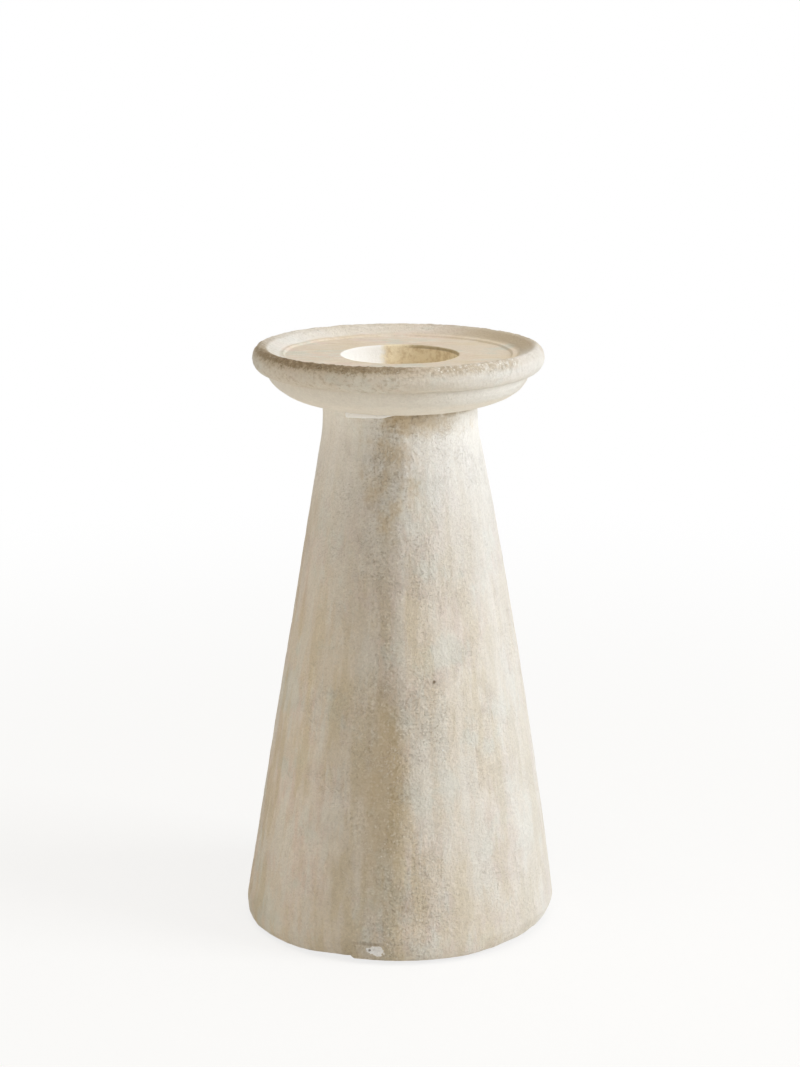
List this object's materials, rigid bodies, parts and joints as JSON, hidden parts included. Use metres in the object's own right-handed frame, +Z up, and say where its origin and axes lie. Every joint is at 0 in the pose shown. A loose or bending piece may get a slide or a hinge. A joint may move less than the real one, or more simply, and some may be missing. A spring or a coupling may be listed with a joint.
{
  "type": "candlestick",
  "caption": "Turned wooden candlestick: a tall tapered pedestal under a shallow dish with a round beaded rim and a central well.",
  "frame": {"origin": "on the turning axis, at the surface that the felt pads stand on", "axes": "+Z up along the turning axis, from the foot to the candle dish; X and Y are free, since the turned shape has no front"},
  "size_m": [0.112, 0.112, 0.21],
  "materials": {
    "limewashed_wood": "matt limewash, hand rubbed, over turned wood",
    "zinc_steel": "zinc plated",
    "felt": "pressed wool felt, brown"
  },
  "bodies": {
    "root": {"pedestal": "limewashed_wood", "dish": "limewashed_wood", "dish_screw": "zinc_steel", "felt_pad_1": "felt", "felt_pad_2": "felt", "felt_pad_3": "felt", "felt_pad_4": "felt"}
  },
  "joints": []
}
